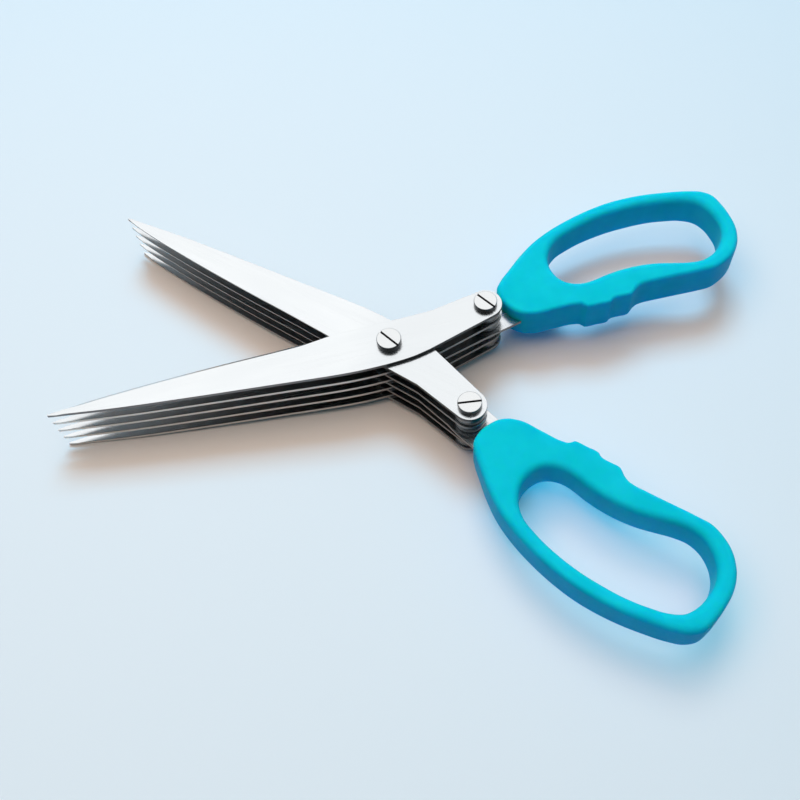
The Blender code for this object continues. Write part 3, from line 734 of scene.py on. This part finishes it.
class Finish:
    """A procedural material being wired up: its nodes, and the shader they lead to. The colour and the
    roughness that it starts with stand until a pattern takes their place."""

    def __init__(self, name, colour, metallic, roughness):
        self.material = bpy.data.materials.new(name)
        self.material.use_nodes = True
        self.tree = self.material.node_tree
        self.shader = self.tree.nodes["Principled BSDF"]
        self.shader.inputs["Base Color"].default_value = (*colour, 1.0)
        self.shader.inputs["Metallic"].default_value = metallic
        self.shader.inputs["Roughness"].default_value = roughness
        self.place = self.tree.nodes.new("ShaderNodeTexCoord").outputs["Object"]

    def node(self, kind, **settings):
        made = self.tree.nodes.new("ShaderNode" + kind)
        for name, value in settings.items():
            setattr(made, name, value)
        return made

    def link(self, source, target):
        self.tree.links.new(source, target)

    def noise(self, scale, detail, stretch=(1, 1, 1), turn=0.0):
        """Noise on the piece's own place, turned about Z and then stretched."""
        mapping = self.node("Mapping", vector_type="TEXTURE")
        mapping.inputs["Rotation"].default_value = (0, 0, turn)
        mapping.inputs["Scale"].default_value = stretch
        self.link(self.place, mapping.inputs["Vector"])
        noise = self.node("TexNoise")
        noise.inputs["Scale"].default_value = scale
        noise.inputs["Detail"].default_value = detail
        self.link(mapping.outputs["Vector"], noise.inputs["Vector"])
        return noise.outputs["Fac"]

    def spread(self, value, low, high):
        """A noise's middle range carried to low and high."""
        return ranged(self.tree, value, NOISE_MIDDLE, (low, high))

    def along(self, front, rear):
        """The first value along the blades, and the second on the arms behind the pivot."""
        split = self.node("SeparateXYZ")
        self.link(self.place, split.inputs["Vector"])
        return ranged(self.tree, split.outputs["X"], PIVOT_FADE, (front, rear), smooth=True)

    def combined(self, operation, first, second):
        """Two values put through one operation of arithmetic."""
        result = self.node("Math", operation=operation)
        self.link(first, result.inputs[0])
        self.link(second, result.inputs[1])
        return result.outputs["Value"]

    def bump(self, value, depth, normal=None):
        """The normal with the value drawn on it as relief, over another relief where one is given."""
        bump = self.node("Bump")
        bump.inputs["Strength"].default_value = 1.0
        bump.inputs["Distance"].default_value = depth
        self.link(value, bump.inputs["Height"])
        if normal:
            self.link(normal, bump.inputs["Normal"])
        return bump.outputs["Normal"]

    def tint(self, value, dark, light):
        """Colours the surface from dark to light as the value goes from 0 to 1."""
        self.link(blended(self.tree, value, dark, light), self.shader.inputs["Base Color"])

    def roughen(self, value, low, high):
        """Takes the roughness from low to high over a noise's middle range."""
        self.link(self.spread(value, low, high), self.shader.inputs["Roughness"])

    def relieve(self, relief):
        """Draws a relief on the surface."""
        self.link(relief, self.shader.inputs["Normal"])


def turquoise_plastic():
    """Moulded plastic: a fine matt grain, slight sink marks, and a little light carried under the skin."""
    finish = Finish("turquoise_moulded_plastic", PLASTIC_COLOUR, 0.0, PLASTIC_ROUGHNESS)
    finish.tint(finish.spread(finish.noise(*PLASTIC_CLOUD), 0.0, 1.0), PLASTIC_DARK, PLASTIC_LIGHT)
    finish.roughen(finish.noise(*PLASTIC_SHEEN), *PLASTIC_ROUGH_RANGE)
    sink = finish.bump(finish.noise(*SINK_MARKS), SINK_DEPTH)
    finish.relieve(finish.bump(finish.noise(*PLASTIC_GRAIN), PLASTIC_GRAIN_DEPTH, sink))
    finish.shader.inputs["Specular IOR Level"].default_value = PLASTIC_SPECULAR
    finish.shader.inputs["Subsurface Weight"].default_value = 1.0
    finish.shader.inputs["Subsurface Radius"].default_value = SKIN_RADIUS
    finish.shader.inputs["Subsurface Scale"].default_value = SKIN_SCALE
    return finish.material


def blade_steel(half, side, dark, light, rough):
    """Stainless sheet rubbed along the blade: long fine streaks in its roughness and its surface. Its
    colour is painted a little darker on the arm behind the pivot, as painted shade."""
    finish = Finish(f"{half}_blade_{side}_steel", light, 1.0, rough[0])
    turn = SIDES[half] * HALF_OPENING
    streak = finish.noise(*BLADE_STREAK, turn)
    cloud = finish.spread(finish.noise(*BLADE_CLOUD, turn), *CLOUD_SHARES)
    finish.tint(finish.combined("MULTIPLY", cloud, finish.along(1.0, ARM_PAINTED_SHADE_SHARE)), dark, light)
    finish.roughen(streak, *rough)
    finish.relieve(finish.bump(streak, STREAK_DEPTH))
    return finish.material


def edge_steel_painted_light(half, name, front, rear):
    """A blade's upright edges, painted brighter along the blade than on the arm behind the pivot: a painted
    reflection that fades to painted shade.
    """
    finish = Finish(f"{half}_{name}_steel", front, 1.0, SHEARED_ROUGHNESS)
    finish.tint(finish.along(0.0, 1.0), front, rear)
    grain = finish.noise(*SHEARED_GRAIN)
    finish.roughen(grain, *SHEARED_ROUGH_RANGE)
    finish.relieve(finish.bump(grain, SHEARED_DEPTH))
    return finish.material


def blade_steels(half):
    """The polished steel of a blade's top, the duller steel of its underside, its colour painted darker as
    shade between the blades, and its edges with painted reflection and shade. The uppermost blade's edges
    are painted darkest, as shade."""
    return (
        blade_steel(half, "polished", *POLISHED),
        blade_steel(half, "underside_painted_shade", *UNDERSIDE_DULL_PAINTED_SHADE),
        edge_steel_painted_light(half, "edges_painted_light", *EDGE_PAINTED_SHINE_AND_SHADE),
        edge_steel_painted_light(half, "top_edges_painted_shade", *TOP_EDGE_PAINTED_SHADE),
    )


def by_facing(mesh, upper, lower, upright):
    """Gives each face its place in the piece's materials by where it faces: up, down or out to the side."""
    normals = np.empty(3 * len(mesh.polygons))
    mesh.polygons.foreach_get("normal", normals)
    rise = normals[2::3]
    facing = np.select([rise < -LEVEL_RISE, rise > LEVEL_RISE], [lower, upper], upright)
    mesh.polygons.foreach_set("material_index", facing.astype(np.int32))


def slot_inside(mesh, index, centre, turn, top):
    """Gives the faces inside a head's slot, between its walls and no lower than its floor, another place in
    the piece's materials, the one that holds the slot's painted shade."""
    places = np.empty(3 * len(mesh.polygons))
    mesh.polygons.foreach_get("center", places)
    x, y, z = places[0::3] - centre[0], places[1::3] - centre[1], places[2::3]
    across = np.abs(y * math.cos(turn) - x * math.sin(turn))
    inside = (across < SLOT_WIDTH / 2 + SLOT_SLACK) & (z > top - SLOT_DEPTH - SLOT_SLACK)
    given = np.empty(len(mesh.polygons), np.int32)
    mesh.polygons.foreach_get("material_index", given)
    mesh.polygons.foreach_set("material_index", np.where(inside, index, given))


def grained_steel(name, colour, rough, rough_range, noise, depth):
    """Steel of one colour with a fine grain in its roughness and its surface."""
    finish = Finish(name, colour, 1.0, rough)
    grain = finish.noise(*noise)
    finish.roughen(grain, *rough_range)
    finish.relieve(finish.bump(grain, depth))
    return finish.material


def screw_steels():
    """The steels of a screw's level faces, its slot and its upright faces, the last two painted dark as
    shade.
    """
    return [
        grained_steel(f"screw_{side}_steel", *look, SCREW_GRAIN, SCREW_DEPTH)
        for side, look in SCREW_STEELS.items()
    ]


def add_camera():
    """The camera in the picture's place, looking down its bearing and elevation, rolled about its axis."""
    azimuth, elevation, roll = CAMERA_AZIMUTH, CAMERA_ELEVATION, CAMERA_ROLL
    level = math.cos(elevation)
    ahead = np.array([-math.sin(azimuth) * level, math.cos(azimuth) * level, -math.sin(elevation)])
    right = np.array([math.cos(azimuth), math.sin(azimuth), 0.0])
    up = np.cross(right, ahead)
    cos, sin = math.cos(roll), math.sin(roll)
    right, up = cos * right + sin * up, cos * up - sin * right
    camera = bpy.data.objects.new("camera", bpy.data.cameras.new("camera"))
    axes = np.stack([right, up, -ahead], axis=1)
    matrix = Matrix(axes.tolist()).to_4x4()
    matrix.translation = CAMERA_PLACE
    camera.matrix_world = matrix
    camera.data.lens = CAMERA_LENS
    camera.data.sensor_width = CAMERA_SENSOR
    camera.data.clip_start, camera.data.clip_end = CAMERA_CLIP
    bpy.context.scene.collection.objects.link(camera)
    bpy.context.scene.camera = camera


def pale_table():
    """A pale matt table. The light that it throws onto the scissors is cooler than the colour it shows."""
    finish = Finish("pale_table", FLOOR_COLOUR, 0.0, FLOOR_ROUGHNESS)
    path = finish.node("LightPath").outputs
    shown = finish.combined("MAXIMUM", path["Is Camera Ray"], path["Is Glossy Ray"])
    finish.tint(shown, FLOOR_BOUNCE, FLOOR_COLOUR)
    return finish.material


def add_floor():
    """The table top as the scissors lie on it: under the pivot nut's foot and the two lowest blades' tips.
    Its slope along X meets the mean of the tips' heights, its slope across meets their difference, and it
    passes under the nearest point of the foot's rim."""
    tip = (-BLADE_REACH, TIP_OVERLAP - TIP_BLUNT)
    thumb, finger = (opened(tip, half) for half in SIDES)
    heights = LOWEST_BLADE["thumb"], LOWEST_BLADE["finger"]
    across = (heights[0] - heights[1]) / (thumb[1] - finger[1])
    along = sum(heights) / 2 / (thumb[0] + NUT_FOOT_RADIUS)
    drop = NUT_FOOT_RADIUS * math.hypot(along, across)
    corners = FLOOR_REACH * np.array([(-1, -1), (1, -1), (1, 1), (-1, 1)])
    heights = corners @ (along, across) - drop
    mesh = bpy.data.meshes.new("table_top")
    mesh.from_pydata(np.column_stack([corners, heights]).tolist(), [], [(0, 1, 2, 3)])
    mesh.materials.append(pale_table())
    floor = bpy.data.objects.new("table_top", mesh)
    bpy.context.scene.collection.objects.link(floor)
    return floor


def add_lamp(name, place, colour):
    """A rectangular lamp that faces the pivot, which the steel doesn't mirror."""
    light = bpy.data.lights.new(name, "AREA")
    light.shape = "RECTANGLE"
    light.size, light.size_y = place["size"]
    light.energy = place["power"]
    light.color = colour
    towards = Vector(place["towards"])
    lamp = bpy.data.objects.new(name, light)
    lamp.location = towards * place["distance"]
    lamp.rotation_euler = (-towards).to_track_quat("-Z", "Y").to_euler()
    lamp.visible_glossy = False
    bpy.context.scene.collection.objects.link(lamp)
    return lamp


def named_for_lamp(name, thing, state):
    """A collection by which a lamp lights, or is stopped by, one thing only or all but that one."""
    group = bpy.data.collections.new(name)
    group.objects.link(thing)
    group.collection_objects[0].light_linking.link_state = state
    return group


def add_shared_lamp(name, place, colour, let_through, table, clear_handle):
    """A lamp whose light the table gets in two shares: the turquoise plastic of the handle that lies in its
    way lets the cyan share through, and stops the rest."""
    lamp = add_lamp(name, place, colour)
    lamp.light_linking.receiver_collection = named_for_lamp(name + "_on_scissors", table, "EXCLUDE")
    lamp = add_lamp(name + "_stopped", place, np.subtract(colour, let_through))
    lamp.light_linking.receiver_collection = named_for_lamp(name + "_on_table", table, "INCLUDE")
    lamp = add_lamp(name + "_let_through", place, let_through)
    lamp.light_linking.receiver_collection = named_for_lamp(name + "_through_to_table", table, "INCLUDE")
    lamp.light_linking.blocker_collection = named_for_lamp(name + "_past_handle", clear_handle, "EXCLUDE")


def light_scene(table, clear_handle):
    """A warm softbox overhead, a cool window lower down on the far side, and a soft light that fades
    towards the horizon. The steel mirrors a room that is dark behind the camera, paler on the far side and
    brightest over the flat of the blades."""
    add_shared_lamp("softbox", SOFTBOX, SOFTBOX_COLOUR, SOFTBOX_LET_THROUGH, table, clear_handle)
    add_shared_lamp("window", WINDOW, WINDOW_COLOUR, WINDOW_LET_THROUGH, table, clear_handle)
    world = bpy.data.worlds.new("studio")
    bpy.context.scene.world = world
    world.use_nodes = True
    tree = world.node_tree
    bearing = tree.nodes.new("ShaderNodeTexCoord").outputs["Generated"]
    path = tree.nodes.new("ShaderNodeLightPath").outputs

    def towards(direction, spread):
        """How far a bearing turns towards a direction, as a share."""
        facing = tree.nodes.new("ShaderNodeVectorMath")
        facing.operation = "DOT_PRODUCT"
        facing.inputs[1].default_value = direction
        tree.links.new(bearing, facing.inputs[0])
        return ranged(tree, facing.outputs["Value"], spread, smooth=True)

    mirrored = blended(tree, towards(FAR_SIDE, FAR_SPREAD), MIRRORED_NEAR, MIRRORED_FAR)
    mirrored = blended(tree, towards(GLOW_TOWARDS, GLOW_SPREAD), mirrored, GLOW)
    soft = blended(tree, towards(OVERHEAD, OVERHEAD_SPREAD), SOFT_LOW, SOFT_HIGH)
    unseen = blended(tree, path["Is Glossy Ray"], soft, mirrored)
    colour = blended(tree, path["Is Camera Ray"], unseen, BACKDROP)
    tree.links.new(colour, tree.nodes["Background"].inputs["Color"])
    bpy.context.scene.view_settings.view_transform = "Standard"


add_camera()
plastic = turquoise_plastic()
for half in SIDES:
    add_handle(half, plastic)
    add_blades(half, blade_steels(half))
add_hardware(screw_steels(), grained_steel("spacer_turned_steel", *TURNED, TURNED_RINGS, TURNED_DEPTH))
light_scene(add_floor(), bpy.data.objects["finger_handle_moulding"])
